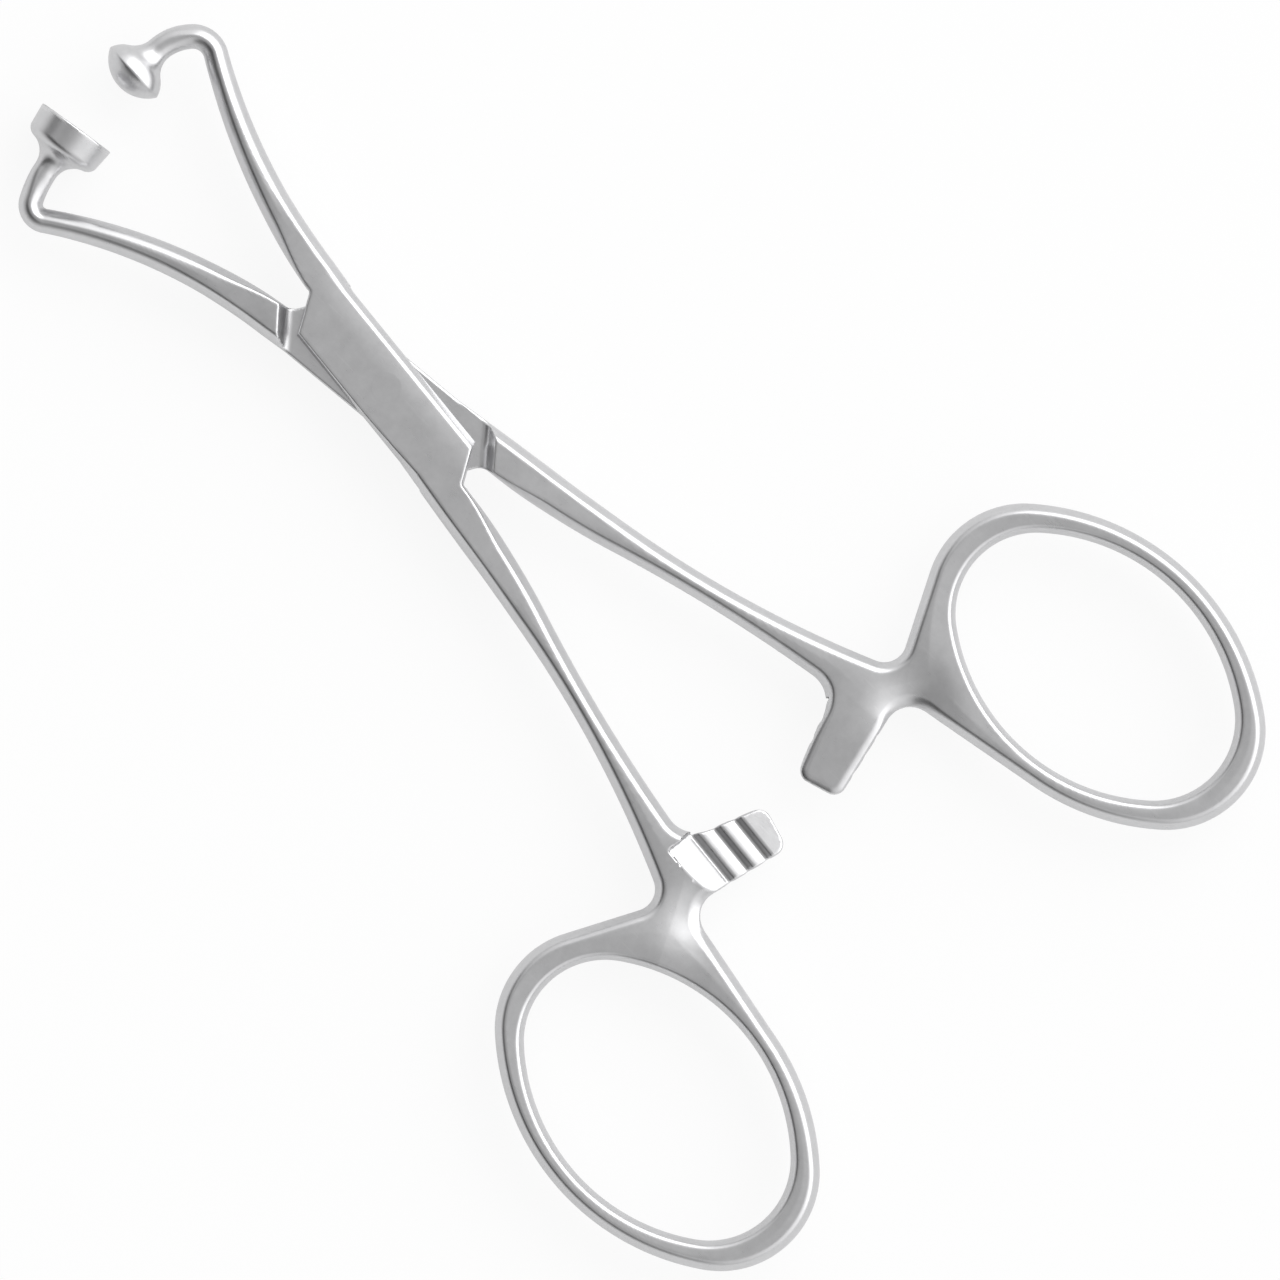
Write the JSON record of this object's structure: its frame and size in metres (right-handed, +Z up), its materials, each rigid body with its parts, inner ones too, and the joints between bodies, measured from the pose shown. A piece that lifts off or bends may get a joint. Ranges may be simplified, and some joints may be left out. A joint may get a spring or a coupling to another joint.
{
  "type": "towel clamp",
  "caption": "Ring-handled surgical towel clamp: crossed forged halves with a box lock, a ratchet, and curved jaws that meet in a ball and cup.",
  "frame": {"origin": "on the pivot axis, at the underside of the box lock", "axes": "+Y from the lock to the jaws, midway between the two halves; +Z up along the pivot axis; +X towards the jaw that ends in the ball"},
  "size_m": [0.09, 0.1363, 0.0086],
  "materials": {
    "satin_steel": "satin-polished stainless steel"
  },
  "bodies": {
    "box_body": {"box_half": "satin_steel", "pivot_pin": "satin_steel"},
    "tongue_body": {"tongue_half": "satin_steel"}
  },
  "joints": [
    {"name": "box_lock", "type": "hinge", "parent": "box_body", "child": "tongue_body", "pos_m": [0, 0, 0.0024], "axis": [0, 0, 1], "range_deg": [-11, 48]}
  ]
}
